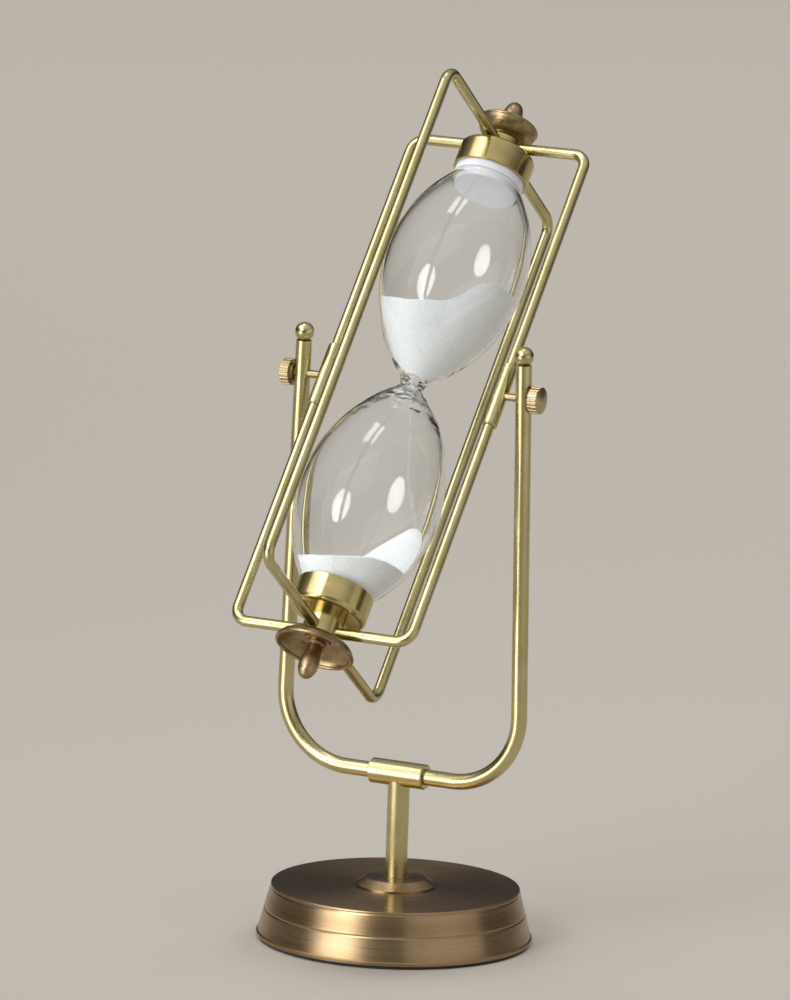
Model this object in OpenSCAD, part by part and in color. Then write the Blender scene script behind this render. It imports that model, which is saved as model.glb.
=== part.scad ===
// Tilting hourglass on a yoke stand: a double glass bulb in a crossed wire frame
// that spins between the arms of a bent yoke rod. Millimetres, +Z up.
// Origin: centre of the base's underside. The frame turns about an axis along X.

/* [Which part] */
// Sub-part to build

/* [Base] */
// Radius of the base at its foot
base_r = 50; // [47:0.5:56]
// Radius of the base at its top edge
base_top_r = 45; // [43.5:0.5:46.5]
// Height of the base's top face above the table
base_h = 19.8; // [18.5:0.1:24]
// Thickness of the felt pad under the base
pad_t = 1.2; // [0.8:0.1:2]
// Thickness of the base's spun skin
skin_t = 1.4; // [1:0.1:1.8]
// Radius of the cast weight inside the base
weight_r = 41; // [30:0.5:42]
// Thickness of the cast weight
weight_t = 13; // [11:0.5:14]
// Radius of the cone collar at its foot
collar_r = 14.5; // [11:0.5:18]
// Height of the cone collar
collar_h = 3; // [2:0.1:5]

/* [Stand] */
// Outer diameter of the post
post_d = 8; // [7.4:0.1:9]
// Height of the sleeve's axis above the table
sleeve_h = 61; // [52:0.5:70]
// Outer diameter of the sleeve that holds the yoke
sleeve_d = 9.2; // [9:0.1:11]
// Length of the sleeve
sleeve_len = 22; // [18:0.5:28]
// Diameter of the yoke rod
yoke_d = 5.8; // [5.4:0.1:6.2]
// Half of the distance between the arms at the pivot
yoke_half = 45; // [44:0.5:50]
// Angle by which each arm leans inward
yoke_lean = 1.4; // [0:0.1:2]
// Bend radius of the yoke's lower corners
yoke_bend = 26; // [20:0.5:28]
// Height of the pivot axis above the table
pivot_h = 203; // [200:0.5:220]
// Height of the arms' ends above the pivot axis
arm_over = 12; // [8:0.5:16]
// Diameter of the ball caps
ball_d = 7; // [6.6:0.1:8]
// Diameter of the tie rod through the post
rod_d = 5; // [4:0.1:5.2]

/* [Pivot screws] */
// Diameter of the pivot pins
pin_d = 2.8; // [2.4:0.1:3]
// Diameter of the knobs
knob_d = 9.8; // [8:0.1:12]
// Thickness of the knobs
knob_t = 4.6; // [3.6:0.1:6]
// Grooves around each knob
knob_grooves = 20; // [12:1:24]

/* [Wire frame] */
// Lean of the frame at rest, its top going backward
tilt = 38; // [0:1:50]
// Wire diameter
wire_d = 4; // [3.6:0.1:4.2]
// Length of the frame between its end wires
frame_len = 203; // [202:0.5:208]
// Width of the loop that carries the pivots
pivot_loop_w = 71; // [66:0.5:72]
// Width of the loop that crosses it
cross_loop_w = 106; // [90:0.5:120]
// Bend radius of the loops' corners
wire_bend = 5.5; // [4:0.5:8]
// Outer diameter of the ferrules on the pivot loop
ferrule_d = 5.6; // [5.4:0.1:6]
// Length of the ferrules
ferrule_len = 25; // [20:0.5:30]

/* [Glass] */
// Largest radius of the bulbs
bulb_r = 25.9; // [24:0.1:27]
// Place of the bulbs' widest ring, as a share of the way from neck to mouth
belly_share = 0.58; // [0.55:0.01:0.6]
// Radius at which the bulbs' walls would meet in the neck's middle
pinch_r = 1.85; // [1.7:0.05:2.1]
// Outer radius of the glass at its neck
neck_r = 4.5; // [4:0.1:4.8]
// Radius of the hole through the neck
neck_hole_r = 1; // [0.6:0.1:1.4]
// Wall of the bulbs
glass_wall = 1; // [0.9:0.1:1.1]
// Outer radius of the glass mouths
mouth_r = 13; // [12.6:0.1:13]
// Length of the straight glass mouths
mouth_len = 1.2; // [1:0.1:1.6]

/* [Sand] */
// Level of the upper sand over the neck, as a share of the way to the widest ring
upper_fill = 0.63; // [0.5:0.01:0.8]
// Height of the mound on the upper sand
mound_h = 6.6; // [3:0.1:8]
// Level of the lower sand under the neck, as a share of the way to the widest ring
lower_fill = 1.257; // [1.2:0.001:1.3]
// Height of the heap over the lower sand's level
heap_h = 11.7; // [8:0.1:14]
// Slope at which both surfaces rise toward the front
sand_rise = 10; // [0:1:15]
// Turn of that slope about the vertical
sand_turn = 28; // [0:1:45]
// Slope of the heap's sides
heap_slope = 36; // [30:1:38]

/* [End fittings] */
// Outer radius of the cups
cup_r = 14; // [14:0.1:14.6]
// Wall of the cups
cup_wall = 0.9; // [0.7:0.1:0.9]
// Height of the cups
cup_len = 10.3; // [9.6:0.1:10.6]
// Radius of the hubs that take the wire ends
hub_r = 7; // [6:0.1:9]
// Extra length of the bottom hub, which lifts its cup over the end of the glass
hub_extra = 3.8; // [3.6:0.1:4.4]
// Radius of the dish on the top end
dish_top_r = 11; // [10:0.1:14]
// Depth of the dish on the top end
dish_top_deep = 6.2; // [4:0.1:7]
// Radius of the dish on the bottom end
dish_bottom_r = 14.4; // [12:0.1:16]
// Depth of the dish on the bottom end
dish_bottom_deep = 4.6; // [4:0.1:7]
// Thickness of the rubber rings over the stoppers
gasket_t = 2.2; // [1.5:0.1:2.6]
// Depth to which the stoppers reach into the glass
stopper_in = 3.6; // [3:0.1:4.4]
// Largest radius of the finials
finial_r = 3.6; // [3.3:0.1:4.4]
// Height of the finials over the foot of their dish
finial_len = 16; // [15:0.1:19]

/* [Hidden] */
$fn = 64;
eps = 0.01;
seam = 0.02;
slip = 0.05;
pivot_gap = 0.05;
yoke_r = yoke_d / 2;
sleeve_bore_r = yoke_r + slip;
wire_r = wire_d / 2;
pin_r = pin_d / 2;
pivot_x = yoke_half + yoke_r / cos(yoke_lean);
bulb_steps = 26;
spigot_r = 1.5;
spigot_len = 5;
washer_t = 0.7;
washer_x = pivot_x + slip;
knob_x = washer_x + washer_t + slip;
rail_x = pivot_loop_w / 2;
end_s = frame_len / 2;
elbow_z = sleeve_h + yoke_bend;
elbow_rise = yoke_bend * sin(yoke_lean);
elbow_x = yoke_half - yoke_bend * cos(yoke_lean) + tan(yoke_lean) * (pivot_h - elbow_z - elbow_rise);
arm_len = (pivot_h + arm_over - elbow_z - elbow_rise) / cos(yoke_lean);
cup_floor = 1.4;
hub_s = end_s - wire_r - 0.5;
dish_s = end_s + wire_r + 0.9;
glass_end_s = hub_s - hub_extra - cup_len + 0.9;
mouth_s = glass_end_s - mouth_len;
belly_s = belly_share * mouth_s;
neck_side_r = (pow(belly_s, 2) + pow(bulb_r - pinch_r, 2)) / (2 * (bulb_r - pinch_r));
mouth_side_r = (pow(mouth_s - belly_s, 2) + pow(bulb_r - mouth_r, 2)) / (2 * (bulb_r - mouth_r));
ca = bulb_r - neck_side_r;
cc = bulb_r - mouth_side_r;
fillet_x = (ca * ca + belly_s * belly_s - pow(neck_side_r - neck_r, 2)) / (2 * (neck_side_r - neck_r) + 2 * ca);
fillet_r = fillet_x - neck_r;
join_k = neck_side_r / (neck_side_r + fillet_r);
join_x = ca + (fillet_x - ca) * join_k;
join_s = belly_s - belly_s * join_k;
shoulder_s = belly_s + sqrt(pow(mouth_side_r - glass_wall, 2) - pow(mouth_r - glass_wall - cc, 2));
sand_gap = 0.2;
plug_r = mouth_r - glass_wall - 0.15;
plug_s = glass_end_s - stopper_in;
ring_r = mouth_r - slip;
dish_t = 1;
boss_t = 1.6;
stud_r = 1.95;
head_r = 5;
head_t = 1.2;
finial_s = dish_s + finial_len;
socket_r0 = 3.2;
weight_z = base_h - skin_t - weight_t;

brass = [0.74, 0.66, 0.42];
bronze = [0.55, 0.46, 0.33];
steel = [0.62, 0.63, 0.64];
white = [0.93, 0.93, 0.92];

// ---------- stand ----------

// Flared skin of the base: beads at the foot and the top edge, a fine groove at mid height
module base_shell() {
  slope = (base_r - base_top_r) / (base_h - pad_t);
  mid = pad_t + (base_h - pad_t) * 0.52;
  mid_r = base_r - slope * (mid - pad_t);
  color(bronze) difference() {
    rotate_extrude() difference() {
      union() {
        polygon([
          [0, pad_t], [base_r, pad_t], [base_r, pad_t + 1], [base_r - 0.5, pad_t + 1.4],
          [mid_r + slope * 0.5, mid - 0.5], [mid_r - 0.16, mid], [mid_r - slope * 0.5, mid + 0.5],
          [base_top_r + slope * 1.6, base_h - 1.6], [base_top_r, base_h - 0.6], [base_top_r, base_h],
          [0, base_h]
        ]);
        translate([base_top_r - 0.35, base_h - 0.6]) circle(r = 0.6);
      }
      polygon([
        [-1, pad_t - 1], [base_r - skin_t, pad_t - 1], [base_r - skin_t, pad_t + 1],
        [base_top_r - skin_t, base_h - skin_t], [-1, base_h - skin_t]
      ]);
      translate([-5, 0]) square([5, base_h * 2]);
    }
    translate([0, 0, base_h - skin_t * 2]) cylinder(d = rod_d + 2 * slip, h = skin_t * 3);
  }
}

// Cast disc clamped under the skin, with a pocket for the tie nut
module base_weight() {
  color([0.2, 0.2, 0.21]) difference() {
    translate([0, 0, weight_z]) cylinder(r = weight_r, h = weight_t);
    translate([0, 0, weight_z - 1]) cylinder(r = 8, h = 6);
    translate([0, 0, weight_z - 1]) cylinder(d = rod_d + 2 * slip, h = weight_t + 2);
  }
}

// Felt pad that the base stands on
module base_pad() {
  color([0.1, 0.1, 0.1]) cylinder(r = base_r - 0.7, h = pad_t);
}

// Low cone at the foot of the post
module base_collar() {
  color(bronze) translate([0, 0, base_h]) rotate_extrude() polygon([
    [post_d / 2 + slip, 0], [collar_r, 0], [collar_r, 0.6], [collar_r - 3.6, collar_h],
    [post_d / 2 + 1.2, collar_h], [post_d / 2 + slip, collar_h - 0.5]
  ]);
}

// Post, cut to a saddle under the sleeve
module post_tube() {
  color(brass) difference() {
    translate([0, 0, base_h]) cylinder(d = post_d, h = sleeve_h - base_h);
    translate([0, 0, base_h - 1]) cylinder(d = rod_d + 2 * slip, h = sleeve_h);
    translate([0, 0, sleeve_h]) rotate([0, 90, 0]) cylinder(d = sleeve_d + 2 * slip, h = 40, center = true);
  }
}

// Rod that clamps sleeve, post, skin and weight together
module tie_rod() {
  color(steel) translate([0, 0, weight_z - 0.8]) {
    cylinder(d = rod_d, h = sleeve_h - sleeve_bore_r - 0.3 - weight_z + 0.8);
  }
}

// Hexagon nut in the weight's pocket
module tie_nut() {
  color(steel) difference() {
    translate([0, 0, weight_z]) cylinder(d = 9.2, h = 4, $fn = 6);
    translate([0, 0, weight_z - 1]) cylinder(d = rod_d + 2 * slip, h = 8);
  }
}

// Washer between nut and weight
module tie_washer() {
  color(steel) difference() {
    translate([0, 0, weight_z + 4]) cylinder(r = 6.5, h = 1);
    translate([0, 0, weight_z + 3]) cylinder(d = rod_d + 2 * slip, h = 4);
  }
}

// Sleeve across the post's head: open ends, a hole for the tie rod and one for the grub screw
module tee_sleeve() {
  color(brass) difference() {
    translate([-sleeve_len / 2, 0, sleeve_h]) rotate([90, 0, 90]) rotate_extrude() polygon([
      [sleeve_bore_r, 0], [sleeve_d / 2 - 0.4, 0], [sleeve_d / 2, 0.4],
      [sleeve_d / 2, sleeve_len - 0.4], [sleeve_d / 2 - 0.4, sleeve_len], [sleeve_bore_r, sleeve_len]
    ]);
    translate([0, 0, sleeve_h - sleeve_d]) cylinder(d = rod_d + 2 * slip, h = sleeve_d);
    translate([sleeve_len / 2 - 4, 0, sleeve_h]) rotate([-90, 0, 0]) cylinder(r = 1.5 + slip, h = sleeve_d);
  }
}

// Headless screw that locks the yoke in the sleeve, with a hexagon socket
module grub_screw() {
  color(steel) translate([sleeve_len / 2 - 4, yoke_r + slip, sleeve_h]) rotate([-90, 0, 0]) difference() {
    cylinder(r = 1.5, h = sleeve_d / 2 - yoke_r);
    translate([0, 0, 0.8]) cylinder(d = 1.7, h = 4, $fn = 6);
  }
}

// Solid rod along one side of the yoke: half the bottom run, an elbow and a leaning arm
module yoke_half_bar() {
  translate([0, 0, sleeve_h]) rotate([0, 90, 0]) cylinder(r = yoke_r, h = elbow_x);
  translate([elbow_x, 0, elbow_z]) rotate([90, 0, 0]) {
    rotate_extrude(angle = 90 + yoke_lean, start = -90) translate([yoke_bend, 0]) circle(r = yoke_r);
    rotate([0, 0, yoke_lean]) translate([yoke_bend, -seam, 0]) rotate([-90, 0, 0]) {
      cylinder(r = yoke_r, h = arm_len + seam);
    }
  }
}

// Socket for the ball cap in one arm's end
module yoke_socket() {
  translate([yoke_half - tan(yoke_lean) * arm_over, 0, pivot_h + arm_over]) rotate([0, -yoke_lean, 0]) {
    translate([0, 0, -spigot_len - 0.5]) cylinder(r = spigot_r + slip, h = spigot_len + 2);
  }
}

// Bent yoke rod, cross drilled for the pivot pins
module yoke_rod() {
  color(brass) difference() {
    union() {
      yoke_half_bar();
      mirror([1, 0, 0]) yoke_half_bar();
    }
    yoke_socket();
    mirror([1, 0, 0]) yoke_socket();
    for (side = [-1, 1]) translate([side * yoke_half, 0, pivot_h]) rotate([0, 90, 0]) {
      cylinder(r = pin_r + pivot_gap, h = 20, center = true);
    }
  }
}

// Ball on a spigot that closes an arm's end
module ball_cap(side) {
  color(brass) mirror([side < 0 ? 1 : 0, 0, 0]) {
    translate([yoke_half - tan(yoke_lean) * arm_over, 0, pivot_h + arm_over]) rotate([0, -yoke_lean, 0]) {
      difference() {
        translate([0, 0, ball_d * 0.45]) sphere(d = ball_d);
        translate([-ball_d, -ball_d, -2 * ball_d]) cube(2 * ball_d);
      }
      translate([0, 0, -spigot_len]) cylinder(r = spigot_r, h = spigot_len + 1);
    }
  }
}
module ball_cap_left() { ball_cap(-1); }
module ball_cap_right() { ball_cap(1); }

// Thin washer between an arm and its knob
module saddle_washer(side) {
  color(brass) mirror([side < 0 ? 1 : 0, 0, 0]) translate([washer_x, 0, pivot_h]) rotate([0, 90, 0]) {
    difference() {
      cylinder(r = 3.1, h = washer_t);
      translate([0, 0, -1]) cylinder(r = pin_r + pivot_gap, h = 3);
    }
  }
}
module saddle_washer_left() { saddle_washer(-1); }
module saddle_washer_right() { saddle_washer(1); }

// ---------- pivot screws ----------

// Grooved knob with a domed end
module thumb_knob(side) {
  dome = 1.3;
  dome_r = (knob_d * knob_d / 4 + dome * dome) / (2 * dome);
  color(bronze) mirror([side < 0 ? 1 : 0, 0, 0]) translate([knob_x, 0, pivot_h]) rotate([0, 90, 0]) {
    difference() {
      intersection() {
        cylinder(d = knob_d, h = knob_t);
        translate([0, 0, knob_t - dome_r]) sphere(r = dome_r);
      }
      for (i = [0 : knob_grooves - 1]) rotate([0, 0, i * 360 / knob_grooves]) {
        translate([knob_d / 2 + 0.15, 0, -1]) cylinder(r = 0.4, h = knob_t + 2, $fn = 16);
      }
      translate([0, 0, -1]) cylinder(r = pin_r + 0.02, h = knob_t - 0.6);
    }
  }
}
module thumb_knob_left() { thumb_knob(-1); }
module thumb_knob_right() { thumb_knob(1); }

// Pin from the knob through the arm into the ferrule's blind hole
module pivot_pin(side) {
  color(steel) mirror([side < 0 ? 1 : 0, 0, 0]) translate([rail_x + 0.7, 0, pivot_h]) rotate([0, 90, 0]) {
    cylinder(r = pin_r, h = knob_x + knob_t - 1.8 - rail_x - 0.7);
  }
}
module pivot_pin_left() { pivot_pin(-1); }
module pivot_pin_right() { pivot_pin(1); }

// ---------- wire frame ----------

// Upright frame placed at the pivot and leaned back
module in_frame() {
  translate([0, 0, pivot_h]) rotate([-tilt, 0, 0]) children();
}

// Ferrule that joins two wires and takes the pivot pin
module ferrule(side) {
  color(brass) in_frame() mirror([side < 0 ? 1 : 0, 0, 0]) difference() {
    translate([rail_x, 0, -ferrule_len / 2]) rotate_extrude() polygon([
      [0, 0], [ferrule_d / 2 - 0.4, 0], [ferrule_d / 2, 0.4],
      [ferrule_d / 2, ferrule_len - 0.4], [ferrule_d / 2 - 0.4, ferrule_len], [0, ferrule_len]
    ]);
    for (end = [-1, 1]) translate([rail_x, 0, end * (3 + ferrule_len / 2)]) {
      cylinder(r = wire_r + slip, h = ferrule_len, center = true);
    }
    translate([rail_x + 0.4, 0, 0]) rotate([0, 90, 0]) cylinder(r = pin_r + pivot_gap, h = ferrule_d);
  }
}
module ferrule_left() { ferrule(-1); }
module ferrule_right() { ferrule(1); }

// Quarter of a wire loop in the X-Z plane: hub end, corner and rail down to z_end
module wire_quarter(half_w, z_end) {
  translate([socket_r0 + slip, 0, end_s]) rotate([0, 90, 0]) {
    cylinder(r = wire_r, h = half_w - wire_bend - socket_r0 - slip);
  }
  translate([half_w - wire_bend, 0, end_s - wire_bend]) rotate([90, 0, 0]) {
    rotate_extrude(angle = 90) translate([wire_bend, 0]) circle(r = wire_r);
  }
  translate([half_w, 0, z_end]) cylinder(r = wire_r, h = end_s - wire_bend - z_end);
}
module pivot_wire(side, end) {
  color(brass) in_frame() mirror([side < 0 ? 1 : 0, 0, 0]) mirror([0, 0, end < 0 ? 1 : 0]) {
    wire_quarter(rail_x, 3 + slip);
  }
}
module pivot_wire_top_left() { pivot_wire(-1, 1); }
module pivot_wire_top_right() { pivot_wire(1, 1); }
module pivot_wire_bottom_left() { pivot_wire(-1, -1); }
module pivot_wire_bottom_right() { pivot_wire(1, -1); }

// Half of the crossing loop: a long rail with a corner and a hub end above and below
module cross_wire(turn) {
  color(brass) in_frame() rotate([0, 0, turn]) {
    wire_quarter(cross_loop_w / 2, -end_s + wire_bend);
    mirror([0, 0, 1]) wire_quarter(cross_loop_w / 2, end_s - wire_bend - 1);
  }
}
module cross_wire_front() { cross_wire(-90); }
module cross_wire_back() { cross_wire(90); }

// ---------- glass and sand ----------

// Radius of a bulb's wall at a distance from the neck, drawn in by a gap
function bulb_at(s, gap) = s < belly_s
  ? ca + sqrt(pow(neck_side_r - gap, 2) - pow(belly_s - s, 2))
  : cc + sqrt(pow(mouth_side_r - gap, 2) - pow(s - belly_s, 2));

// Points of a bulb's wall between two distances from the neck
function bulb_wall(gap, from_s, to_s, steps) = [
  for (i = [0 : steps]) let (s = from_s + (to_s - from_s) * i / steps) [bulb_at(s, gap), s]
];

// Points of the neck's outer fillet, from its waist up to the bulb's wall
function neck_wall(steps) = [
  for (i = [0 : steps]) let (a = 180 - i * acos((fillet_x - join_x) / fillet_r) / steps)
    [fillet_x + fillet_r * cos(a), fillet_r * sin(a)]
];

// Solid shape of one bulb's outside
module bulb_outside() {
  rotate_extrude() polygon(concat(
    [[0, 0]], neck_wall(5), [for (p = bulb_wall(0, join_s, mouth_s, bulb_steps)) if (p[1] > join_s + 0.1) p],
    [[mouth_r, glass_end_s], [0, glass_end_s]]
  ));
}

// Solid shape of one bulb's hollow, drawn in by a gap
module bulb_hollow(gap, from_s) {
  rotate_extrude() polygon(concat(
    [[0, from_s]], bulb_wall(glass_wall + gap, from_s, shoulder_s, bulb_steps), [[0, shoulder_s]]
  ));
}

// Double bulb: two open mouths, a narrow neck and an even wall
module glass_bulbs() {
  color([0.8, 0.85, 0.88, 0.3]) in_frame() difference() {
    union() {
      bulb_outside();
      mirror([0, 0, 1]) bulb_outside();
    }
    for (end = [0, 1]) mirror([0, 0, end]) {
      bulb_hollow(0, 1);
      translate([0, 0, shoulder_s - eps]) cylinder(r = mouth_r - glass_wall, h = 20);
    }
    cylinder(r = neck_hole_r, h = 8, center = true);
  }
}

// Room under a sand surface: a section across the slope, drawn out along it
module sand_room() {
  translate([0, 0, pivot_h]) rotate([0, 0, sand_turn]) rotate([90 - sand_rise, 0, 0]) {
    linear_extrude(height = 6 * bulb_r, center = true) children();
  }
}

// Sand left above the neck: nearly level, with a mound toward the right wall
module sand_upper() {
  level = upper_fill * belly_s;
  half = 0.6 * bulb_r;
  color(white) intersection() {
    in_frame() bulb_hollow(sand_gap, 3);
    sand_room() polygon(concat(
      [[2 * bulb_r, level], [3 * bulb_r, level], [3 * bulb_r, -bulb_r], [-3 * bulb_r, -bulb_r], [-3 * bulb_r, level]],
      [for (i = [0 : 12]) let (u = half * (i / 6 - 1)) [bulb_r + u, level + mound_h * (1 + cos(180 * u / half)) / 2]]
    ));
  }
}

// Sand that has run through: a pool that rounds off to the right and a heap behind it
module sand_lower() {
  level = lower_fill * belly_s;
  round_r = 0.77 * bulb_r;
  cone_h = 2.2 * heap_h;
  color(white) difference() {
    intersection() {
      in_frame() mirror([0, 0, 1]) bulb_hollow(sand_gap, belly_s * 0.4);
      union() {
        sand_room() {
          translate([-4 * bulb_r, -3 * bulb_r]) square([4 * bulb_r - 0.57 * bulb_r, 3 * bulb_r - level]);
          translate([-0.57 * bulb_r, -level - round_r]) circle(r = round_r);
          translate([-0.57 * bulb_r - eps, -3 * bulb_r - round_r]) square([round_r + eps, 3 * bulb_r - level]);
        }
        translate([0, 0, pivot_h]) rotate([0, 0, sand_turn]) {
          translate([0.09 * bulb_r, -0.62 * bulb_r, heap_h - level - cone_h]) {
            cylinder(r1 = 1.2 + cone_h / tan(heap_slope), r2 = 1.2, h = cone_h);
          }
        }
      }
    }
    in_frame() {
      translate([0, 0, -glass_end_s - 1]) cylinder(r = bulb_r, h = mouth_len + 2.6);
      translate([0, 0, -glass_end_s - 1]) cylinder(r = plug_r + sand_gap, h = stopper_in + 1 + sand_gap);
    }
  }
}

// ---------- end fittings, drawn for the top end and mirrored for the bottom ----------

module at_end(end) {
  in_frame() mirror([0, 0, end < 0 ? 1 : 0]) children();
}

// Outer face of a cup's floor
function cup_out(end) = end > 0 ? hub_s : hub_s - hub_extra;

// White stopper: a stepped disc in the glass mouth and a ring that the glass ends on
module plug(end) {
  seat = cup_out(end) - cup_floor - gasket_t;
  color(white) at_end(end) rotate_extrude() polygon([
    [0, plug_s], [plug_r - 0.6, plug_s], [plug_r - 0.15, plug_s + 0.2], [plug_r, plug_s + 0.6],
    [plug_r, glass_end_s], [ring_r - 0.2, glass_end_s], [ring_r, glass_end_s + 0.2],
    [ring_r, seat], [0, seat]
  ]);
}
module plug_top() { plug(1); }
module plug_bottom() { plug(-1); }

// Rubber ring between stopper and cup floor
module gasket(end) {
  color([0.15, 0.15, 0.15]) at_end(end) translate([0, 0, cup_out(end) - cup_floor - gasket_t]) difference() {
    cylinder(r = ring_r - 0.2, h = gasket_t);
    translate([0, 0, -gasket_t]) cylinder(r = head_r + 0.2, h = 3 * gasket_t);
  }
}
module gasket_top() { gasket(1); }
module gasket_bottom() { gasket(-1); }

// Brass cup with a rounded shoulder
module cup(end) {
  out = cup_out(end);
  round_r = 1.8;
  color(brass) at_end(end) rotate_extrude() polygon(concat(
    [[cup_r - cup_wall, out - cup_len], [cup_r - 0.2, out - cup_len], [cup_r, out - cup_len + 0.2]],
    [for (a = [0 : 15 : 90]) [cup_r - round_r * (1 - cos(a)), out - round_r * (1 - sin(a))]],
    [[stud_r + 0.1, out], [stud_r + 0.1, out - cup_floor], [cup_r - cup_wall, out - cup_floor]]
  ));
}
module cup_top() { cup(1); }
module cup_bottom() { cup(-1); }

// Hub with four sockets for the wire ends
module hub(end) {
  color(brass) at_end(end) difference() {
    rotate_extrude() polygon([
      [stud_r + 0.1, cup_out(end)], [hub_r, cup_out(end)], [hub_r, dish_s - 0.6], [hub_r - 0.6, dish_s],
      [stud_r + 0.1, dish_s]
    ]);
    for (a = [0 : 90 : 270]) rotate([0, 0, a]) translate([socket_r0, 0, end_s]) {
      rotate([0, 90, 0]) cylinder(r = wire_r + slip, h = hub_r * 2);
    }
  }
}
module hub_top() { hub(1); }
module hub_bottom() { hub(-1); }

// Headed stud from the cup floor through hub and dish into the finial
module stud(end) {
  floor_s = cup_out(end) - cup_floor;
  color(steel) at_end(end) {
    translate([0, 0, floor_s - head_t]) cylinder(r = head_r, h = head_t);
    translate([0, 0, floor_s - eps]) cylinder(r = stud_r, h = finial_s - 8.6 - floor_s);
  }
}
module stud_top() { stud(1); }
module stud_bottom() { stud(-1); }

// Dish with a flat floor, a rounded wall and a beaded rim, open outward
module dish(end, dish_r, deep) {
  flat = dish_r * 0.5;
  wall = dish_r - flat;
  color(bronze) at_end(end) rotate_extrude() union() {
    polygon(concat(
      [[stud_r + 0.1, dish_s]],
      [for (a = [0 : 10 : 90]) [flat + wall * sin(a), dish_s + deep * (1 - cos(a))]],
      [for (a = [90 : -10 : 0]) [flat + (wall - dish_t) * sin(a), dish_s + deep - (deep - dish_t) * cos(a)]],
      [[head_r, dish_s + dish_t], [head_r, dish_s + boss_t], [stud_r + 0.1, dish_s + boss_t]]
    ));
    translate([dish_r - 0.5, dish_s + deep - 0.3]) circle(r = 0.7);
  }
}
module dish_top() { dish(1, dish_top_r, dish_top_deep); }
module dish_bottom() { dish(-1, dish_bottom_r, dish_bottom_deep); }

// Drop-shaped nut that closes the stack: foot, swelling body and a blunt end
module finial(end) {
  foot_s = dish_s + boss_t;
  neck_s = foot_s + 1.4;
  len = finial_s - neck_s;
  swell = 0.6;
  color(bronze) at_end(end) rotate_extrude() difference() {
    polygon(concat(
      [[0, foot_s], [3.4, foot_s], [3.4, foot_s + 0.8], [2.9, neck_s - 0.2]],
      [for (i = [0 : 6]) [2.7 + (finial_r - 2.7) * (1 - cos(30 * i)) / 2, neck_s + len * swell * i / 6]],
      [for (a = [15 : 15 : 75]) [finial_r * cos(a), neck_s + len * (swell + (1 - swell) * 1.02 * sin(a))]],
      [[0.5, finial_s], [0, finial_s]]
    ));
    translate([-1, foot_s - 1]) square([stud_r + 1.1, finial_s - 8.2 - foot_s + 1]);
  }
}
module finial_top() { finial(1); }
module finial_bottom() { finial(-1); }

base_shell();
base_weight();
base_pad();
base_collar();
post_tube();
tie_rod();
tie_nut();
tie_washer();
tee_sleeve();
grub_screw();
yoke_rod();
ball_cap_left();
ball_cap_right();
saddle_washer_left();
saddle_washer_right();
thumb_knob_left();
thumb_knob_right();
pivot_pin_left();
pivot_pin_right();
ferrule_left();
ferrule_right();
pivot_wire_top_left();
pivot_wire_top_right();
pivot_wire_bottom_left();
pivot_wire_bottom_right();
cross_wire_front();
cross_wire_back();
hub_top();
hub_bottom();
cup_top();
cup_bottom();
gasket_top();
gasket_bottom();
plug_top();
plug_bottom();
stud_top();
stud_bottom();
dish_top();
dish_bottom();
finial_top();
finial_bottom();
glass_bulbs();
sand_upper();
sand_lower();
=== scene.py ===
# A tilting hourglass: double glass bulb in crossed brass wire loops, turning between
# the arms of a bent yoke on a spun brass base. Metres, +Z up, pivot axis along X.
import math

import bmesh
import bpy
from mathutils import Matrix, Vector, noise


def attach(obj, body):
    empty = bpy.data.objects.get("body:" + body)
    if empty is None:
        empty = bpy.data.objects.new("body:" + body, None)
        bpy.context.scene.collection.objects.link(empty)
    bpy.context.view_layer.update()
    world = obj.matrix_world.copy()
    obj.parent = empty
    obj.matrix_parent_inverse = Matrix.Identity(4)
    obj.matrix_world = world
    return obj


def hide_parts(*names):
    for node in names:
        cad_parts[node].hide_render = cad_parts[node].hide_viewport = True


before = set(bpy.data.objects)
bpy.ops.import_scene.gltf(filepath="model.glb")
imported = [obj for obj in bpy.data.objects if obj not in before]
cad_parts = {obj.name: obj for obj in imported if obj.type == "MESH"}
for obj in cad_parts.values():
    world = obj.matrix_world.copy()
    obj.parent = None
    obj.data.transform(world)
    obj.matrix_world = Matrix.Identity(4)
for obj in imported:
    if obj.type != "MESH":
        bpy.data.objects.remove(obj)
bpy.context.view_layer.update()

# ---------- base skin ----------
# A disc of sheet brass spun over a former into a shallow flared drum, toned to a warm
# bronze and lacquered. Spinning leaves fine rings round the side and over the top. The
# collar at the post's foot is finished with it.


def linear(hex_colour):
    """An sRGB hex colour as linear red, green, blue and alpha."""
    parts = [int(hex_colour[i:i + 2], 16) / 255 for i in (1, 3, 5)]
    return [p / 12.92 if p <= 0.04045 else ((p + 0.055) / 1.055) ** 2.4 for p in parts] + [1]


def add(tree, kind, inputs=None, **settings):
    """Adds a node with its settings, and sets or links each of its named inputs."""
    node = tree.nodes.new(kind)
    for name, value in settings.items():
        setattr(node, name, value)
    for socket, value in (inputs or {}).items():
        if isinstance(value, bpy.types.NodeSocket):
            tree.links.new(value, node.inputs[socket])
        else:
            node.inputs[socket].default_value = value
    return node


def new_material(name):
    """An empty material and its node tree."""
    material = bpy.data.materials.new(name)
    material.use_nodes = True
    material.node_tree.nodes.clear()
    return material, material.node_tree


def dress(material, *cad_nodes):
    """Gives CAD nodes a material."""
    for name in cad_nodes:
        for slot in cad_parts[name].material_slots:
            slot.material = material


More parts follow.
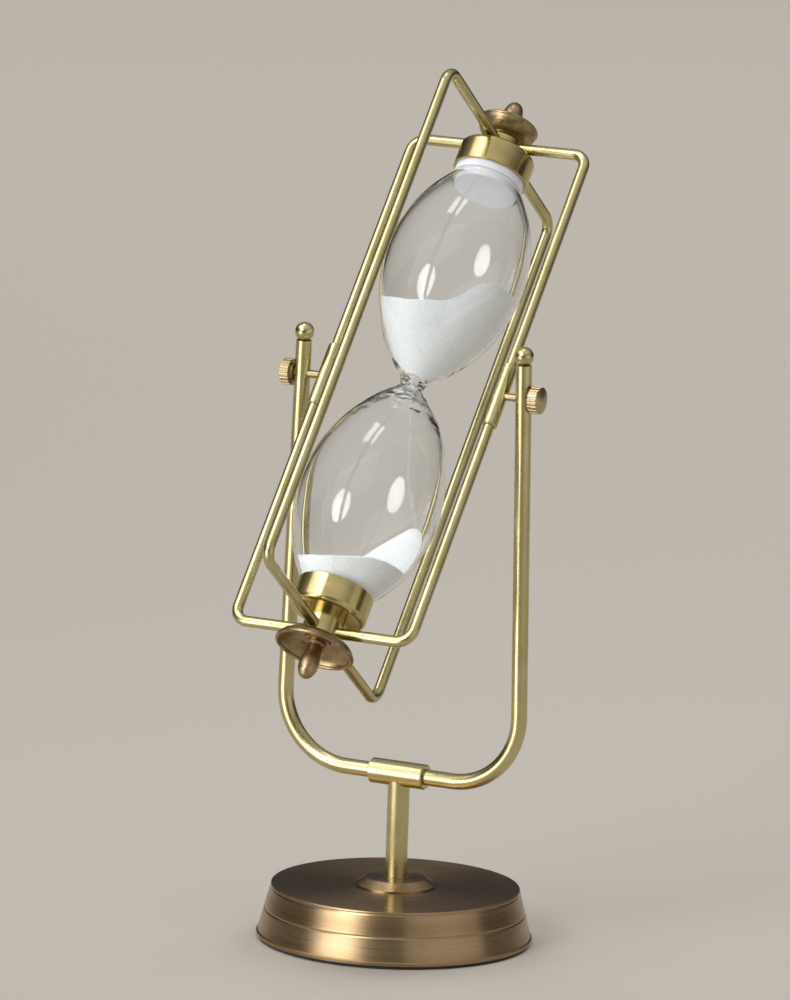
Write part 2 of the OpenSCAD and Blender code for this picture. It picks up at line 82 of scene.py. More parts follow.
def lathe_place(tree, centre=(0, 0, 0), lean=0):
    """Distance from a turned piece's axis, distance along it, and the place in its axes."""
    place = add(tree, "ShaderNodeTexCoord").outputs["Object"]
    turned = add(tree, "ShaderNodeMapping", {
        "Vector": place, "Location": centre, "Rotation": (lean, 0, 0)
    }, vector_type="TEXTURE").outputs[0]
    flat = add(tree, "ShaderNodeVectorMath", {
        0: turned, 1: (1, 1, 0)}, operation="MULTIPLY").outputs[0]
    out = add(tree, "ShaderNodeVectorMath", {0: flat}, operation="LENGTH").outputs["Value"]
    along = add(tree, "ShaderNodeSeparateXYZ", {0: turned}).outputs["Z"]
    return out, along, turned


def spun_bronze():
    """Spun brass with a brown lacquer: ring lines 0.35 mm apart that stretch each light
    into a tall band, paler and deeper bands 5 mm wide, and browner clouds 22 mm wide. A
    cell of noise holds two lines, so it is twice as wide, here and on turned pieces."""
    material, tree = new_material("spun_bronze_toned_brass")
    out, along, place = lathe_place(tree)
    rings_at = add(tree, "ShaderNodeCombineXYZ", {"X": out, "Y": along}).outputs[0]
    drift = add(tree, "ShaderNodeVectorMath", {
        0: place, 1: (0.004, 0.004, 0)}, operation="MULTIPLY").outputs[0]
    rings_at = add(tree, "ShaderNodeVectorMath", {0: rings_at, 1: drift}).outputs[0]
    rings = add(tree, "ShaderNodeTexNoise", {
        "Vector": rings_at, "Scale": 1000 / 0.7, "Detail": 3, "Roughness": 0.65}).outputs["Fac"]
    bands = add(tree, "ShaderNodeTexNoise", {
        "Vector": rings_at, "Scale": 1000 / 5, "Detail": 2}).outputs["Fac"]
    clouds = add(tree, "ShaderNodeTexNoise", {
        "Vector": place, "Scale": 1000 / 22, "Detail": 4, "Roughness": 0.6}).outputs["Fac"]
    tone = add(tree, "ShaderNodeMapRange", {
        "Value": bands, "From Min": 0.35, "From Max": 0.65}).outputs[0]
    colour = add(tree, "ShaderNodeMix", {
        "Factor": tone, "A": linear("#A08562"), "B": linear("#B19877")
    }, data_type="RGBA").outputs["Result"]
    tarnish = add(tree, "ShaderNodeMapRange", {
        "Value": clouds, "From Min": 0.5, "From Max": 0.75, "To Max": 0.3}).outputs[0]
    colour = add(tree, "ShaderNodeMix", {
        "Factor": tarnish, "A": colour, "B": linear("#7F6442")
    }, data_type="RGBA").outputs["Result"]
    rough = add(tree, "ShaderNodeMapRange", {
        "Value": rings, "From Min": 0.3, "From Max": 0.7, "To Min": 0.25, "To Max": 0.32
    }).outputs[0]
    relief = add(tree, "ShaderNodeBump", {
        "Height": rings, "Strength": 0.2, "Distance": 0.00004}).outputs[0]
    around = add(tree, "ShaderNodeTangent", direction_type="RADIAL", axis="Z").outputs[0]
    shader = add(tree, "ShaderNodeBsdfPrincipled", {
        "Base Color": colour, "Metallic": 1.0, "Roughness": rough, "Normal": relief,
        "Anisotropic": 0.7, "Anisotropic Rotation": 0.25, "Tangent": around})
    add(tree, "ShaderNodeOutputMaterial", {"Surface": shader.outputs[0]})
    return material


dress(spun_bronze(), "base_shell", "base_collar")

# ---------- weight and pad ----------
# A sand-cast iron disc fills the base to keep it from tipping, and a disc of dark
# needled felt under it spares the table.


def cast_iron():
    """Raw sand-cast iron: dark, with pits about 1.5 mm apart and a little rust."""
    material, tree = new_material("sand_cast_iron")
    place = add(tree, "ShaderNodeTexCoord").outputs["Object"]
    pits = add(tree, "ShaderNodeTexNoise", {
        "Vector": place, "Scale": 1000 / 1.5, "Detail": 5, "Roughness": 0.7}).outputs["Fac"]
    rust = add(tree, "ShaderNodeMapRange", {
        "Value": pits, "From Min": 0.55, "From Max": 0.75}).outputs[0]
    colour = add(tree, "ShaderNodeMix", {
        "Factor": rust, "A": linear("#3A3A3C"), "B": linear("#5A4034")
    }, data_type="RGBA").outputs["Result"]
    relief = add(tree, "ShaderNodeBump", {
        "Height": pits, "Strength": 0.6, "Distance": 0.0003}).outputs[0]
    shader = add(tree, "ShaderNodeBsdfPrincipled", {
        "Base Color": colour, "Metallic": 0.7, "Roughness": 0.65, "Normal": relief})
    add(tree, "ShaderNodeOutputMaterial", {"Surface": shader.outputs[0]})
    return material


def felt():
    """Needled polyester felt: dark and dull, short matted fibres drawn 0.5 mm apart to
    show."""
    material, tree = new_material("needled_felt")
    place = add(tree, "ShaderNodeTexCoord").outputs["Object"]
    fibres = add(tree, "ShaderNodeTexNoise", {
        "Vector": place, "Scale": 1000 / 0.5, "Detail": 4, "Distortion": 1.5}).outputs["Fac"]
    colour = add(tree, "ShaderNodeMix", {
        "Factor": fibres, "A": linear("#16161A"), "B": linear("#34343A")
    }, data_type="RGBA").outputs["Result"]
    relief = add(tree, "ShaderNodeBump", {
        "Height": fibres, "Strength": 0.8, "Distance": 0.0003}).outputs[0]
    shader = add(tree, "ShaderNodeBsdfPrincipled", {
        "Base Color": colour, "Roughness": 0.95, "Normal": relief,
        "Sheen Weight": 0.3, "Sheen Roughness": 0.5})
    add(tree, "ShaderNodeOutputMaterial", {"Surface": shader.outputs[0]})
    return material


dress(cast_iron(), "base_weight")
dress(felt(), "base_pad")

# ---------- post, sleeve, yoke and wires ----------
# Drawn brass tube, rod and wire, scratch-brushed along their length and dipped in clear
# lacquer. The brushing dulls the mirror to a satin with long soft highlights.


def satin_brass(name, light, deep, dull):
    """Brushed and lacquered brass: fine scratches 0.3 mm apart, drawn 0.6 mm apart to show,
    faint darker clouds 12 mm wide where the lacquer has yellowed, and rubs that shine."""
    material, tree = new_material(name)
    place = add(tree, "ShaderNodeTexCoord").outputs["Object"]
    clouds = add(tree, "ShaderNodeTexNoise", {
        "Vector": place, "Scale": 1000 / 12, "Detail": 3, "Roughness": 0.55}).outputs["Fac"]
    scratches = add(tree, "ShaderNodeTexNoise", {
        "Vector": place, "Scale": 1000 / 0.6, "Detail": 2, "Roughness": 0.5}).outputs["Fac"]
    tone = add(tree, "ShaderNodeMapRange", {
        "Value": clouds, "From Min": 0.35, "From Max": 0.7}).outputs[0]
    colour = add(tree, "ShaderNodeMix", {
        "Factor": tone, "A": linear(light), "B": linear(deep)
    }, data_type="RGBA").outputs["Result"]
    mixed = add(tree, "ShaderNodeMath", {0: clouds, 1: scratches}, operation="ADD").outputs[0]
    rough = add(tree, "ShaderNodeMapRange", {
        "Value": mixed, "From Min": 0.7, "From Max": 1.3,
        "To Min": dull - 0.04, "To Max": dull + 0.05}).outputs[0]
    relief = add(tree, "ShaderNodeBump", {
        "Height": scratches, "Strength": 0.03, "Distance": 0.00001}).outputs[0]
    shader = add(tree, "ShaderNodeBsdfPrincipled", {
        "Base Color": colour, "Metallic": 1.0, "Roughness": rough, "Normal": relief,
        "Coat Weight": 0.1, "Coat Roughness": 0.2})
    add(tree, "ShaderNodeOutputMaterial", {"Surface": shader.outputs[0]})
    return material


drawn_brass = satin_brass("brushed_drawn_brass", "#C9BF90", "#B8AC78", 0.24)
dress(drawn_brass, "post_tube", "tee_sleeve", "yoke_rod",
      "pivot_wire_top_left", "pivot_wire_top_right", "pivot_wire_bottom_left",
      "pivot_wire_bottom_right", "cross_wire_front", "cross_wire_back",
      "ferrule_left", "ferrule_right", "ball_cap_left", "ball_cap_right")

# ---------- hidden steel ----------
# The rod, nut and washer that pull the stand together, the sleeve's lock screw and the
# stud through each end of the frame: turned mild steel, bright zinc plated.


def zinc_plate():
    """Bright zinc plate on steel: bluish grey with a faint spangle 2 mm wide."""
    material, tree = new_material("zinc_plated_steel")
    place = add(tree, "ShaderNodeTexCoord").outputs["Object"]
    spangle = add(tree, "ShaderNodeTexVoronoi", {
        "Vector": place, "Scale": 1000 / 2}).outputs["Distance"]
    colour = add(tree, "ShaderNodeMix", {
        "Factor": spangle, "A": linear("#B9BEC3"), "B": linear("#A4A9AE")
    }, data_type="RGBA").outputs["Result"]
    rough = add(tree, "ShaderNodeMapRange", {
        "Value": spangle, "To Min": 0.28, "To Max": 0.42}).outputs[0]
    shader = add(tree, "ShaderNodeBsdfPrincipled", {
        "Base Color": colour, "Metallic": 1.0, "Roughness": rough})
    add(tree, "ShaderNodeOutputMaterial", {"Surface": shader.outputs[0]})
    return material


dress(zinc_plate(), "tie_rod", "tie_nut", "tie_washer", "grub_screw", "stud_top", "stud_bottom")

# ---------- thumb screws, dishes and finials ----------
# Fluted knobs with their pins and washers, a bowl-shaped dish outside each end and a
# drop-shaped finial in it, turned from brass bar, then antiqued: a thin brown patina
# that stays in the tool marks and is rubbed off the crowns.

pivot = Vector((0, 0, 0.203))
lean_back = math.radians(-38)


def turned_brass():
    """Antiqued turned brass: tool marks 0.4 mm apart round the axis, and a brown patina
    in patches 5 mm wide."""
    material, tree = new_material("turned_antique_brass")
    out, along, place = lathe_place(tree, pivot, lean_back)
    rings_at = add(tree, "ShaderNodeCombineXYZ", {"X": out, "Y": along}).outputs[0]
    marks = add(tree, "ShaderNodeTexNoise", {
        "Vector": rings_at, "Scale": 1000 / 0.8, "Detail": 3, "Roughness": 0.6}).outputs["Fac"]
    clouds = add(tree, "ShaderNodeTexNoise", {
        "Vector": place, "Scale": 1000 / 5, "Detail": 4, "Roughness": 0.65}).outputs["Fac"]
    patina = add(tree, "ShaderNodeMapRange", {
        "Value": clouds, "From Min": 0.4, "From Max": 0.7}).outputs[0]
    colour = add(tree, "ShaderNodeMix", {
        "Factor": patina, "A": linear("#AC9671"), "B": linear("#7C6745")
    }, data_type="RGBA").outputs["Result"]
    rough = add(tree, "ShaderNodeMapRange", {
        "Value": marks, "From Min": 0.3, "From Max": 0.7, "To Min": 0.28, "To Max": 0.42
    }).outputs[0]
    relief = add(tree, "ShaderNodeBump", {
        "Height": marks, "Strength": 0.3, "Distance": 0.00008}).outputs[0]
    shader = add(tree, "ShaderNodeBsdfPrincipled", {
        "Base Color": colour, "Metallic": 1.0, "Roughness": rough, "Normal": relief})
    add(tree, "ShaderNodeOutputMaterial", {"Surface": shader.outputs[0]})
    return material


dress(turned_brass(), "dish_top", "dish_bottom", "finial_top", "finial_bottom")
dress(satin_brass("antiqued_bar_brass", "#C6B38D", "#9C8863", 0.33),
      "thumb_knob_left", "thumb_knob_right", "pivot_pin_left", "pivot_pin_right",
      "saddle_washer_left", "saddle_washer_right")

# ---------- cups and hubs ----------
# Deep-drawn brass cups over the glass mouths and turned hubs that take the wire ends,
# polished brighter than the wire and lacquered.


def cup_brass():
    """Turned and lacquered brass: bright, with rings 0.45 mm apart round the axis and
    faint clouds 8 mm wide."""
    material, tree = new_material("lacquered_turned_brass")
    out, along, place = lathe_place(tree, pivot, lean_back)
    rings_at = add(tree, "ShaderNodeCombineXYZ", {"X": out, "Y": along}).outputs[0]
    rings = add(tree, "ShaderNodeTexNoise", {
        "Vector": rings_at, "Scale": 1000 / 0.9, "Detail": 3, "Roughness": 0.6}).outputs["Fac"]
    clouds = add(tree, "ShaderNodeTexNoise", {
        "Vector": place, "Scale": 1000 / 8, "Detail": 3}).outputs["Fac"]
    tone = add(tree, "ShaderNodeMapRange", {
        "Value": clouds, "From Min": 0.35, "From Max": 0.7}).outputs[0]
    colour = add(tree, "ShaderNodeMix", {
        "Factor": tone, "A": linear("#C9B981"), "B": linear("#B4A06A")
    }, data_type="RGBA").outputs["Result"]
    rough = add(tree, "ShaderNodeMapRange", {
        "Value": rings, "From Min": 0.3, "From Max": 0.7, "To Min": 0.15, "To Max": 0.22
    }).outputs[0]
    relief = add(tree, "ShaderNodeBump", {
        "Height": rings, "Strength": 0.12, "Distance": 0.00004}).outputs[0]
    shader = add(tree, "ShaderNodeBsdfPrincipled", {
        "Base Color": colour, "Metallic": 1.0, "Roughness": rough, "Normal": relief})
    add(tree, "ShaderNodeOutputMaterial", {"Surface": shader.outputs[0]})
    return material


dress(cup_brass(), "cup_top", "cup_bottom", "hub_top", "hub_bottom")

# ---------- gaskets and stoppers ----------
# A soft black ring in the bottom of each cup, and on it a white moulded stopper: a wide
# disc that the mouth of the glass ends on, and a narrower step that plugs the glass.


def nitrile():
    """Moulded nitrile rubber: black and dull, with a faint grey bloom 3 mm wide."""
    material, tree = new_material("moulded_nitrile")
    place = add(tree, "ShaderNodeTexCoord").outputs["Object"]
    bloom = add(tree, "ShaderNodeTexNoise", {
        "Vector": place, "Scale": 1000 / 3, "Detail": 4}).outputs["Fac"]
    colour = add(tree, "ShaderNodeMix", {
        "Factor": bloom, "A": linear("#1B1B1B"), "B": linear("#333330")
    }, data_type="RGBA").outputs["Result"]
    shader = add(tree, "ShaderNodeBsdfPrincipled", {"Base Color": colour, "Roughness": 0.75})
    add(tree, "ShaderNodeOutputMaterial", {"Surface": shader.outputs[0]})
    return material


def stopper_polythene():
    """Moulded low-density polythene: waxy white, light goes in a little, faint flow marks
    6 mm wide."""
    material, tree = new_material("moulded_polythene")
    place = add(tree, "ShaderNodeTexCoord").outputs["Object"]
    flow = add(tree, "ShaderNodeTexNoise", {
        "Vector": place, "Scale": 1000 / 6, "Detail": 3}).outputs["Fac"]
    colour = add(tree, "ShaderNodeMix", {
        "Factor": flow, "A": linear("#F3F3F7"), "B": linear("#E5E6EE")
    }, data_type="RGBA").outputs["Result"]
    relief = add(tree, "ShaderNodeBump", {
        "Height": flow, "Strength": 0.2, "Distance": 0.0003}).outputs[0]
    shader = add(tree, "ShaderNodeBsdfPrincipled", {
        "Base Color": colour, "Roughness": 0.4, "Normal": relief, "Subsurface Weight": 0.15,
        "Subsurface Radius": (0.002, 0.002, 0.002), "Subsurface Scale": 1.0})
    add(tree, "ShaderNodeOutputMaterial", {"Surface": shader.outputs[0]})
    return material


dress(nitrile(), "gasket_top", "gasket_bottom")
dress(stopper_polythene(), "plug_top", "plug_bottom")

# ---------- glass ----------
# One length of borosilicate tube, blown into two bulbs at the lamp and drawn in to a
# narrow neck between them. The wall is even but for the thick, rippled glass at the neck.

# Each bulb's outline is two arcs that meet at its belly, one from the neck, one to the mouth.
neck_side, mouth_side, belly, bulb_radius = 0.06208, 0.05538, 0.04907, 0.0259
neck_radius, neck_hole, wall, mouth_radius, mouth_length = 0.0045, 0.001, 0.001, 0.013, 0.0012
mouth_at = belly + math.sqrt(mouth_side ** 2 - (mouth_radius - bulb_radius + mouth_side) ** 2)
glass_end = mouth_at + mouth_length


def bulb_radius_at(s, inset):
    """Radius of a bulb at a distance s from the neck, drawn in from its outside."""
    side = neck_side if s < belly else mouth_side
    return bulb_radius - side + math.sqrt((side - inset) ** 2 - (belly - s) ** 2)


def glass_outside(s):
    """Outer radius of the glass at a distance s from the neck."""
    middle = bulb_radius - neck_side
    fillet_x = (middle ** 2 + belly ** 2 - (neck_side - neck_radius) ** 2) / (
        2 * (neck_side - neck_radius) + 2 * middle)
    fillet = fillet_x - neck_radius
    share = neck_side / (neck_side + fillet)
    if s < belly * (1 - share):
        return fillet_x - math.sqrt(fillet ** 2 - s ** 2)
    return mouth_radius if s > mouth_at else bulb_radius_at(s, 0)


def glass_inside(s):
    """Inner radius of the glass at a distance s from the neck."""
    past_belly = s > belly and bulb_radius_at(min(s, mouth_at), wall) < mouth_radius - wall
    if past_belly or s > mouth_at:
        return mouth_radius - wall
    return max(neck_hole, bulb_radius_at(s, wall))


def closed_piece(name, points, faces):
    """A closed mesh with all its faces turned outward, put in the scene."""
    mesh = bpy.data.meshes.new(name)
    mesh.from_pydata(points, [], faces)
    shape = bmesh.new()
    shape.from_mesh(mesh)
    bmesh.ops.recalc_face_normals(shape, faces=shape.faces)
    shape.to_mesh(mesh)
    shape.free()
    piece = bpy.data.objects.new(name, mesh)
    bpy.context.collection.objects.link(piece)
    return piece


def revolve(name, profile, around, ripple=None):
    """A closed piece from rings of (radius, distance along the frame's axis)."""
    turned = Matrix.Translation(pivot) @ Matrix.Rotation(lean_back, 4, "X")
    points, faces = [], []
    for radius, s in profile:
        for k in range(around):
            angle = 2 * math.pi * k / around
            out = radius + (ripple(radius, s, angle) if ripple else 0)
            points.append(turned @ Vector((out * math.cos(angle), out * math.sin(angle), s)))
    for row in range(len(profile)):
        below = (row + 1) % len(profile)
        for k in range(around):
            turn = (k + 1) % around
            faces.append((row * around + k, row * around + turn,
                          below * around + turn, below * around + k))
    piece = closed_piece(name, points, faces)
    piece.data.polygons.foreach_set("use_smooth", [True] * len(faces))
    return piece


def neck_ripple(radius, s, angle):
    """Thick, uneven glass outside the neck, where it was turned and drawn in by hand."""
    skin, folded_at, folded_reach = 0.0002, -0.003, 0.011
    wave_height, fold_height, broad_height = 0.0007, 0.0004, 0.00007
    if radius < glass_outside(abs(s)) - skin:
        return 0
    near = math.exp(-((s - folded_at) / folded_reach) ** 2)
    around = Vector((math.cos(angle), math.sin(angle), 0))
    wave = noise.noise(around * 1.6 + Vector((0, 0, s * 300)))
    folds = noise.noise(around * 3.5 + Vector((0, 0, s * 620 + 3)))
    broad = noise.noise(around * 0.8 + Vector((0, 0, s * 55 + 7)))
    return near * (wave * wave_height + folds * fold_height) + broad * broad_height


glass_rows, glass_around, rim_round = 120, 128, 0.0002
steps = [glass_end * (i / glass_rows) for i in range(1 - glass_rows, glass_rows)]
outer = [(glass_outside(abs(s)), s) for s in steps]
inner = [(glass_inside(abs(s)), s) for s in reversed(steps)]
rim = [(mouth_radius - rim_round, glass_end - rim_round / 2),
       (mouth_radius - wall / 2, glass_end),
       (mouth_radius - wall + rim_round, glass_end - rim_round / 2)]
far_rim = [(radius, -s) for radius, s in reversed(rim)]
glass = revolve("blown_glass", outer + rim + inner + far_rim, glass_around, neck_ripple)


def borosilicate():
    """Clear borosilicate glass, flame polished: colourless, with long faint waves 14 mm
    apart. Shadows and soft light pass straight through it."""
    material, tree = new_material("blown_borosilicate_glass")
    place = add(tree, "ShaderNodeTexCoord").outputs["Object"]
    waves = add(tree, "ShaderNodeTexNoise", {
        "Vector": place, "Scale": 1000 / 14, "Detail": 1}).outputs["Fac"]
    relief = add(tree, "ShaderNodeBump", {
        "Height": waves, "Strength": 0.15, "Distance": 0.0006}).outputs[0]
    tint = add(tree, "ShaderNodeMix", {
        "Factor": waves, "A": linear("#FFFFFF"), "B": linear("#FCFEFE")
    }, data_type="RGBA").outputs["Result"]
    shader = add(tree, "ShaderNodeBsdfPrincipled", {
        "Base Color": tint, "Roughness": 0.0, "IOR": 1.47, "Transmission Weight": 1.0,
        "Normal": relief})
    clear = add(tree, "ShaderNodeBsdfTransparent", {"Color": linear("#FCFDFD")})
    path = add(tree, "ShaderNodeLightPath")
    soft = add(tree, "ShaderNodeMath", {
        0: path.outputs["Is Shadow Ray"], 1: path.outputs["Is Diffuse Ray"]
    }, operation="MAXIMUM").outputs[0]
    both = add(tree, "ShaderNodeMixShader", {
        0: soft, 1: shader.outputs[0], 2: clear.outputs[0]})
    add(tree, "ShaderNodeOutputMaterial", {"Surface": both.outputs[0]})
    return material


glass.data.materials.append(borosilicate())
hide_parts("glass_bulbs")
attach(glass, "frame")

# ---------- sand ----------
# Washed white quartz sand, sieved fine and dry, poured in before the stoppers went on.
# It lies level with low heaps, held by the glass.


def quartz_sand():
    """White quartz sand of about 0.15 mm: matt and white, greyer in patches 7 mm wide,
    with its grains drawn 0.45 mm wide to show."""
    material, tree = new_material("white_quartz_sand")
    place = add(tree, "ShaderNodeTexCoord").outputs["Object"]
    grains = add(tree, "ShaderNodeTexVoronoi", {"Vector": place, "Scale": 1000 / 0.45})
    drift = add(tree, "ShaderNodeTexNoise", {
        "Vector": place, "Scale": 1000 / 7, "Detail": 5, "Roughness": 0.6}).outputs["Fac"]
    tone = add(tree, "ShaderNodeMapRange", {
        "Value": grains.outputs["Color"], "From Min": 0.2, "From Max": 0.95}).outputs[0]
    colour = add(tree, "ShaderNodeMix", {
        "Factor": tone, "A": linear("#F7F9FA"), "B": linear("#E9EDEE")
    }, data_type="RGBA").outputs["Result"]
    soft = add(tree, "ShaderNodeMapRange", {
        "Value": drift, "From Min": 0.4, "From Max": 0.7, "To Max": 0.3}).outputs[0]
    colour = add(tree, "ShaderNodeMix", {
        "Factor": soft, "A": colour, "B": linear("#E2E6E9")
    }, data_type="RGBA").outputs["Result"]
    height = add(tree, "ShaderNodeMath", {
        0: grains.outputs["Distance"], 1: drift}, operation="ADD").outputs[0]
    relief = add(tree, "ShaderNodeBump", {
        "Height": height, "Strength": 0.35, "Distance": 0.0003}).outputs[0]
    shader = add(tree, "ShaderNodeBsdfPrincipled", {
        "Base Color": colour, "Roughness": 0.85, "Normal": relief})
    add(tree, "ShaderNodeOutputMaterial", {"Surface": shader.outputs[0]})
    return material


white_sand = quartz_sand()
# The surfaces are told by u, to the right of the front, and v, toward it.
sand_turn, sand_rise, heap_slope = math.radians(28), math.radians(10), math.radians(34)
sideways = Vector((math.cos(sand_turn), math.sin(sand_turn), 0))
forward = Vector((math.sin(sand_turn), -math.cos(sand_turn), 0))


def upper_surface(u, v):
    """Height over the pivot of the upper sand: a gentle slope with a mound to the right."""
    level, mound_half, mound_height = 0.0309, 0.0155, 0.0066
    bank_from, bank_slope = -0.002, 0.12
    off = abs(u - bulb_radius) / mound_half
    level += mound_height * (1 + math.cos(math.pi * off)) / 2 if off < 1 else 0
    level += max(0, bank_from - u) * bank_slope
    return (level + v * math.sin(sand_rise)) / math.cos(sand_rise)


def lower_surface(u, v):
    """Height over the pivot of the lower sand: a pool that rounds off to the right, and
    a heap at its angle of rest against the back wall."""
    pool_level, pool_edge, pool_round = -0.0617, -0.0148, 0.020
    heap_top, heap_u, heap_v, heap_tip = -0.0492, 0.0023, 0.016, 0.0015
    past = max(0, min(u - pool_edge, pool_round * 0.97))
    pool = pool_level - (pool_round - math.sqrt(pool_round ** 2 - past ** 2))
    pool = (pool + v * math.sin(sand_rise)) / math.cos(sand_rise)
    away = math.sqrt((u - heap_u) ** 2 + (v - heap_v) ** 2 + heap_tip ** 2)
    heap = heap_top - math.tan(heap_slope) * (away - heap_tip)
    return max(pool, heap)


plug_radius, plug_face = 0.01193, glass_end - 0.00368


def poured_sand(name, node, surface, low, high, from_s, to_s, sign):
    """Sand under a surface between two corners of u and v, cut to the hollow of one bulb
    between two distances from the neck, and round its stopper, with a hair of clearance."""
    rows, around, hair, axis = 90, 160, 0.00012, 0.00002
    ends = [from_s + (to_s - from_s) * i / rows for i in range(rows + 1)]
    around_plug = []
    if to_s > plug_face:
        around_plug = [(plug_radius, ends[-1] * sign), (plug_radius, plug_face * sign)]
    hollow = revolve(name + "_hollow", [(axis, ends[0] * sign)] + [
        (bulb_radius_at(s, wall + hair), s * sign) for s in ends
    ] + around_plug + [(axis, min(ends[-1], plug_face) * sign)], around)
    side, depth = 74, 0.09
    swell, swell_height, pit, pit_height = 0.006, 0.00035, 0.0009, 0.0001
    points, faces = [], []
    for under in (False, True):
        for j in range(side):
            for i in range(side):
                u = low[0] + (high[0] - low[0]) * i / (side - 1)
                v = low[1] + (high[1] - low[1]) * j / (side - 1)
                z = surface(u, v)
                z += (noise.noise(Vector((u, v, 0)) / swell) * swell_height
                      + noise.noise(Vector((u, v, 5)) / pit) * pit_height)
                drop = Vector((0, 0, z - (depth if under else 0)))
                points.append(pivot + sideways * u + forward * v + drop)
    for j in range(side - 1):
        for i in range(side - 1):
            k = j * side + i
            faces.append((k, k + 1, k + side + 1, k + side))
            faces.append(tuple(n + side * side for n in (k + side, k + side + 1, k + 1, k)))
    border = list(range(side)) + [side * j + side - 1 for j in range(1, side)]
    border += [side * (side - 1) + i for i in range(side - 2, -1, -1)]
    border += [side * j for j in range(side - 2, 0, -1)]
    for here, there in zip(border, border[1:] + border[:1]):
        faces.append((there, here, here + side * side, there + side * side))
    piece = closed_piece(name, points, faces)
    cut = piece.modifiers.new("hollow", "BOOLEAN")
    cut.operation, cut.solver, cut.object = "INTERSECT", "EXACT", hollow
    evaluated = piece.evaluated_get(bpy.context.evaluated_depsgraph_get())
    kept = bpy.data.meshes.new_from_object(evaluated)
    piece.modifiers.clear()
    piece.data = kept
    bpy.data.objects.remove(hollow)
    kept.materials.clear()
    kept.materials.append(white_sand)
    kept.polygons.foreach_set("use_smooth", [True] * len(kept.polygons))
    kept.set_sharp_from_angle(angle=math.radians(35))
    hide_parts(node)
    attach(piece, "frame")


poured_sand("upper_sand_bed", "sand_upper", upper_surface,
            (-0.042, -0.068), (0.052, 0.042), 0.003, 0.075, 1)
poured_sand("lower_sand_bed", "sand_lower", lower_surface,
            (-0.055, -0.012), (0.032, 0.088), 0.020, mouth_at - 0.0006, -1)

# ---------- falling sand ----------
# The thread of grains that runs from the neck, falls plumb on to the bulb's back wall
# and slides down it to the heap. Grains of 0.15 mm, drawn 0.3 mm wide to show.

stream = bmesh.new()
grain_count, grain_radius, radius_spread, shake_seed = 420, 0.00013, 0.00004, 7
leaves_at, fall, falling_share, quickening = 0.001, 0.0335, 0.62, 1.3
thread_spread, slide_spread, slide_depth = 0.0002, 0.0005, 0.0006
lands_at, slide_to = Vector((0, 0, -fall)), Vector((0.0088, -0.0128, -0.0478))
for k in range(grain_count):
    t = k / (grain_count - 1)
    if t < falling_share:
        spread = thread_spread + thread_spread * t
        dropped = (fall + leaves_at) * (t / falling_share) ** quickening
        centre = Vector((0, 0, leaves_at - dropped))
    else:
        spread = slide_spread
        flat = lands_at.lerp(slide_to, (t - falling_share) / (1 - falling_share))
        along = flat.y * math.sin(-lean_back) + flat.z * math.cos(lean_back)
        axis_point = Vector((0, math.sin(-lean_back), math.cos(lean_back))) * along
        outward = (flat - axis_point).normalized()
        centre = axis_point + outward * (bulb_radius_at(-along, wall) - slide_depth)
    shake = [noise.cell(Vector((k * 1.37 + shake_seed, n * 3.1, 0.5))) * 2 - 1 for n in range(3)]
    grain = Matrix.Translation(pivot + centre + Vector(shake) * spread)
    bmesh.ops.create_icosphere(
        stream, subdivisions=1, radius=grain_radius + radius_spread * shake[0], matrix=grain)
stream_mesh = bpy.data.meshes.new("falling_sand")
stream.to_mesh(stream_mesh)
stream.free()
stream_mesh.materials.append(white_sand)
falling_sand = bpy.data.objects.new("falling_sand", stream_mesh)
bpy.context.collection.objects.link(falling_sand)
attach(falling_sand, "frame")

# ---------- floor, lamps and camera ----------
# A wide pale floor, seen through a long lens a little above the object, under a plain
# studio sky. One soft box at the left, a wide one at the right and one overhead light
# it all, four more at the left shape the brass, and two behind wash the floor.


def floor_paint():
    """Matt pale emulsion, plain and even, so that the object alone draws the eye."""
    material, tree = new_material("pale_matt_floor")
    shader = add(tree, "ShaderNodeBsdfPrincipled", {
        "Base Color": linear("#C3BCB2"), "Roughness": 0.9})
    add(tree, "ShaderNodeOutputMaterial", {"Surface": shader.outputs[0]})
    return material


floor_mesh = bpy.data.meshes.new("floor")
floor_reach, floor_sides = 9.0, 96
floor_turns = [2 * math.pi * k / floor_sides for k in range(floor_sides)]
floor_mesh.from_pydata(
    [(floor_reach * math.cos(turn), floor_reach * math.sin(turn), 0) for turn in floor_turns],
    [], [list(range(floor_sides))])
floor = bpy.data.objects.new("floor", floor_mesh)
bpy.context.collection.objects.link(floor)
floor_mesh.materials.append(floor_paint())

target, camera_distance = Vector((-0.00565, 0, 0.1608)), 2.79
azimuth, elevation, roll = math.radians(28.08), math.radians(9.96), math.radians(1.9)
back = Vector((math.sin(azimuth) * math.cos(elevation),
               -math.cos(azimuth) * math.cos(elevation), math.sin(elevation)))
right = Vector((math.cos(azimuth), math.sin(azimuth), 0))
up = back.cross(right)
across = math.cos(roll) * right + math.sin(roll) * up
above = math.cos(roll) * up - math.sin(roll) * right
lens = bpy.data.cameras.new("camera")
lens.sensor_width = 36
lens.lens = lens.sensor_width * 7.76
lens.shift_x = 0.0005
lens.clip_end = 40
camera = bpy.data.objects.new("camera", lens)
spot = target + back * camera_distance
camera.matrix_world = Matrix((
    (across.x, above.x, back.x, spot.x), (across.y, above.y, back.y, spot.y),
    (across.z, above.z, back.z, spot.z), (0, 0, 0, 1)))
bpy.context.collection.objects.link(camera)
bpy.context.scene.camera = camera


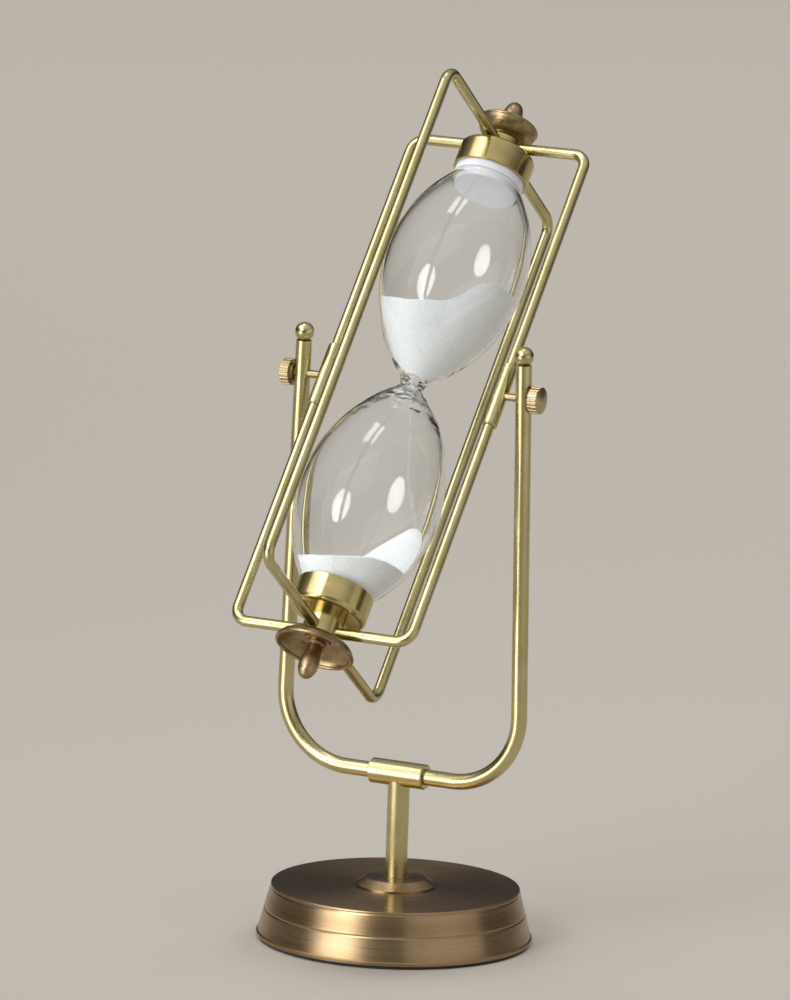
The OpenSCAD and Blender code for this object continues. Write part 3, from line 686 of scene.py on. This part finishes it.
def soft_box(name, turn, distance, height, size, power, spread=120, aim=0.25, shape="ELLIPSE"):
    """A soft box at a turn from the camera's side, aimed at a height on the object's axis."""
    side = azimuth + math.radians(turn)
    lamp = bpy.data.lights.new(name, "AREA")
    lamp.shape, lamp.size, lamp.size_y, lamp.energy = shape, size[0], size[1], power
    lamp.spread = math.radians(spread)
    box = bpy.data.objects.new(name, lamp)
    box.location = (distance * math.sin(side), -distance * math.cos(side), height)
    box.rotation_euler = (box.location - Vector((0, 0, aim))).to_track_quat("Z", "Y").to_euler()
    box.visible_camera = False
    bpy.context.collection.objects.link(box)
    return box


soft_box("left_octagon_box", -41, 1.25, 0.96, (0.74, 0.62), 1.0, spread=60)
brass_lights = [
    soft_box("left_top_box", -60, 0.8, 1.35, (1.0, 0.36), 1.1),
    soft_box("left_low_box", -51, 1.25, 0.32, (0.8, 0.6), 0.7),
    soft_box("left_strip_light", -51, 0.27, 0.1, (0.26, 0.2), 0.068, 60, 0.1, "RECTANGLE"),
    soft_box("left_wire_box", -80, 1.0, 1.3, (1.3, 0.9), 1.9, aim=0.2)]
soft_box("right_wide_box", 46, 1.5, 0.42, (2.2, 0.8), 1.6, aim=0.42, shape="RECTANGLE")
soft_box("overhead_box", -127, 0.55, 4.0, (1.1, 1.1), 6, aim=0.0, shape="RECTANGLE")
for wash_name, wash_turn, wash_power in (
        ("background_left_box", -150, 34), ("background_right_box", 142, 38)):
    wash = soft_box(wash_name, wash_turn, 4.6, 3.8, (3.6, 3.0), wash_power, aim=-1.5)
    wash.visible_glossy = wash.visible_transmission = False

# Flags keep the boxes for the brass off the glass and the floor, where they would glare.
flagged = bpy.data.collections.new("flagged_off")
for piece in (glass, floor):
    flagged.objects.link(piece)
for member in flagged.collection_objects:
    member.light_linking.link_state = "EXCLUDE"
for box in brass_lights:
    box.light_linking.receiver_collection = flagged

world = bpy.data.worlds.new("studio")
bpy.context.scene.world = world
world.use_nodes = True
world.node_tree.nodes.clear()
sky = world.node_tree
toward = add(sky, "ShaderNodeTexCoord").outputs["Generated"]
facing = add(sky, "ShaderNodeVectorMath", {
    0: toward, 1: (math.sin(azimuth), -math.cos(azimuth), 0)
}, operation="DOT_PRODUCT").outputs["Value"]
front = add(sky, "ShaderNodeMapRange", {
    "Value": facing, "From Min": -0.5, "From Max": 0.3, "To Min": 0.6, "To Max": 1.0
}, interpolation_type="SMOOTHSTEP").outputs[0]
height = add(sky, "ShaderNodeSeparateXYZ", {0: toward}).outputs["Z"]
shade = add(sky, "ShaderNodeMapRange", {
    "Value": height, "From Min": 0.15, "From Max": 0.95, "To Min": 0.08, "To Max": 0.8
}, interpolation_type="SMOOTHSTEP").outputs[0]
shade = add(sky, "ShaderNodeMath", {0: shade, 1: front}, operation="MULTIPLY").outputs[0]
light = add(sky, "ShaderNodeBackground", {"Color": linear("#FFFFFF"), "Strength": shade})
add(sky, "ShaderNodeOutputWorld", {"Surface": light.outputs[0]})

bpy.context.scene.view_settings.view_transform = "Standard"
